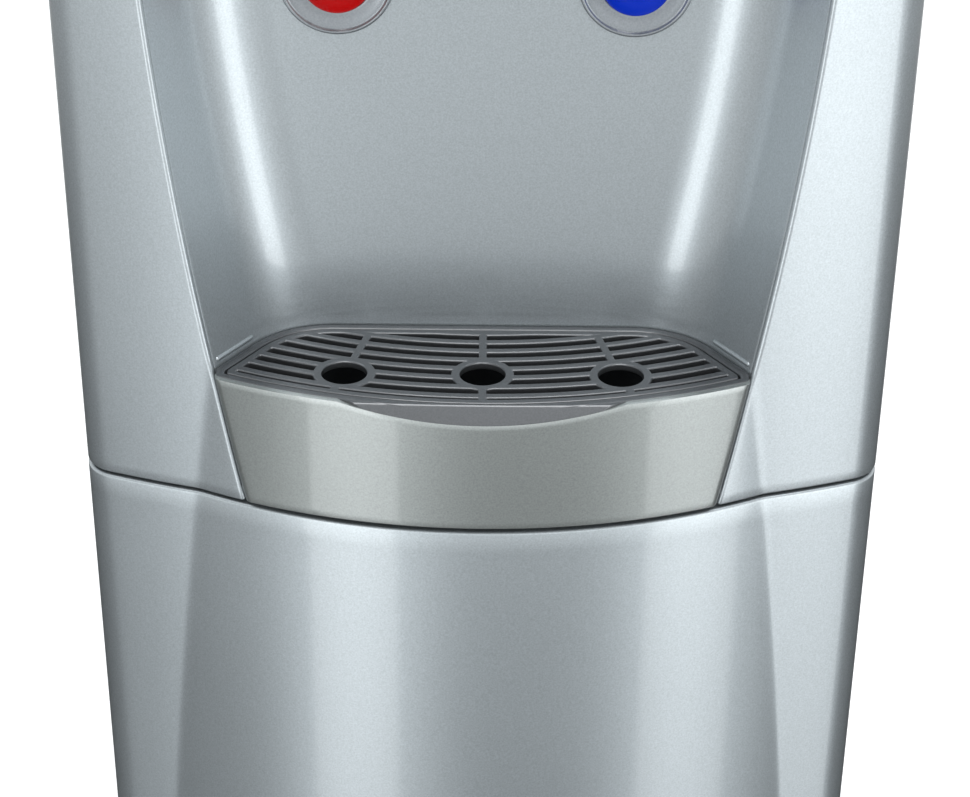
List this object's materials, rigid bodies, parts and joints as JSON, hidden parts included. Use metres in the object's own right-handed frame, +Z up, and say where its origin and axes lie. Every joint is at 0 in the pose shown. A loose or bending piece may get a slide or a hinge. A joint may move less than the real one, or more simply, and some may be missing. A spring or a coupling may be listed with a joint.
{
  "type": "water cooler with fridge",
  "caption": "Floor-standing water cooler with a bowed silver front, a dispensing alcove with a hot and a cold push button, a pull-out drip tray and a small fridge below.",
  "frame": {"origin": "on the floor under the middle of the bounding box", "axes": "+Z up, the front with the alcove and the door faces -Y, +X to the right seen from the front"},
  "size_m": [0.31, 0.35, 0.96],
  "materials": {
    "silver": "metallic silver lacquer",
    "silver_sheet": "metallic silver lacquer",
    "warm_silver": "warm metallic lacquer",
    "dish_silver": "satin silver",
    "dark_grey": "fine-grained",
    "dark_sheet": "powder coat",
    "black_plastic": "satin",
    "black_metal": "black enamel",
    "rubber": "matt",
    "gasket_rubber": "soft, pale",
    "white_plastic": "white, moulded",
    "steel": "plain",
    "copper": "plain copper",
    "foam": "foamed",
    "hose": "silicone",
    "valve_red": "satin",
    "valve_blue": "satin",
    "red_button": "glossy",
    "blue_button": "glossy",
    "lamp": "diffusing",
    "rack_plastic": "pale, moulded",
    "rocker_red": "glossy",
    "rocker_green": "glossy"
  },
  "bodies": {
    "cabinet": {"base_pan": "dark_grey", "feet": "rubber", "left_side_panel": "silver_sheet", "right_side_panel": "silver_sheet", "rear_panel": "dark_sheet", "rear_screws": "steel", "cabinet_foam": "foam", "fridge_liner": "white_plastic", "fridge_shelves": "steel", "mid_deck": "dark_grey", "front_panel": "silver", "alcove_liner": "silver", "top_cover": "silver", "bottle_collar": "dark_grey", "bottle_spike": "white_plastic", "tank_shelf": "steel", "cold_tank": "steel", "cold_tank_jacket": "white_plastic", "evaporator_coil": "copper", "hot_tank": "steel", "hot_tank_jacket": "foam", "heater_band": "steel", "compressor": "black_metal", "compressor_mounts": "rubber", "condenser_tube": "black_metal", "condenser_wires": "black_metal", "condenser_brackets": "black_metal", "hot_valve": "valve_red", "cold_valve": "valve_blue", "hot_nozzle": "dark_grey", "cold_nozzle": "dark_grey", "hot_dish": "dish_silver", "cold_dish": "dish_silver", "hot_switch": "white_plastic", "cold_switch": "white_plastic", "hot_spring": "steel", "cold_spring": "steel", "hot_hose": "hose", "cold_hose": "hose", "indicator_window": "black_plastic", "indicator_lamps": "lamp", "switch_plate": "black_plastic", "upper_hinge": "steel", "lower_hinge": "steel", "cord_gland": "black_plastic"},
    "door": {"door_shell": "silver", "door_foam": "foam", "door_liner": "white_plastic", "door_gasket": "gasket_rubber", "door_racks": "rack_plastic", "door_bushes": "white_plastic"},
    "tray": {"tray_basin": "dark_grey", "tray_front": "warm_silver"},
    "grille": {"tray_grille": "dark_grey"},
    "hot_button": {"hot_button": "red_button"},
    "cold_button": {"cold_button": "blue_button"},
    "heating_rocker": {"heating_switch": "rocker_red"},
    "cooling_rocker": {"cooling_switch": "rocker_green"},
    "drain_cap": {"drain_cap": "black_plastic"}
  },
  "joints": [
    {"name": "fridge_door", "type": "hinge", "parent": "cabinet", "child": "door", "pos_m": [0.144, -0.10902, 0.3], "axis": [0, 0, 1], "range_deg": [0, 110]},
    {"name": "tray_slide", "type": "slide", "parent": "cabinet", "child": "tray", "axis": [0, -1, 0], "range_m": [0, 0.1]},
    {"name": "grille_lift", "type": "slide", "parent": "tray", "child": "grille", "axis": [0, 0, 1], "range_m": [0, 0.1]},
    {"name": "hot_button_press", "type": "slide", "parent": "cabinet", "child": "hot_button", "axis": [0, 1, 0], "range_m": [0, 0.005], "stiffness_N_per_m": 400, "springref_m": -0.002, "deforming": ["hot_spring"]},
    {"name": "cold_button_press", "type": "slide", "parent": "cabinet", "child": "cold_button", "axis": [0, 1, 0], "range_m": [0, 0.005], "stiffness_N_per_m": 400, "springref_m": -0.002, "deforming": ["cold_spring"]},
    {"name": "heating_rocker_tilt", "type": "hinge", "parent": "cabinet", "child": "heating_rocker", "pos_m": [0.0654, 0.1502, 0.85], "axis": [1, 0, 0], "range_deg": [0, 14]},
    {"name": "cooling_rocker_tilt", "type": "hinge", "parent": "cabinet", "child": "cooling_rocker", "pos_m": [0.0866, 0.1502, 0.85], "axis": [1, 0, 0], "range_deg": [0, 14]},
    {"name": "drain_cap_turn", "type": "hinge", "parent": "cabinet", "child": "drain_cap", "pos_m": [0.098, 0.1512, 0.57], "axis": [0, 1, 0], "continuous": true}
  ]
}
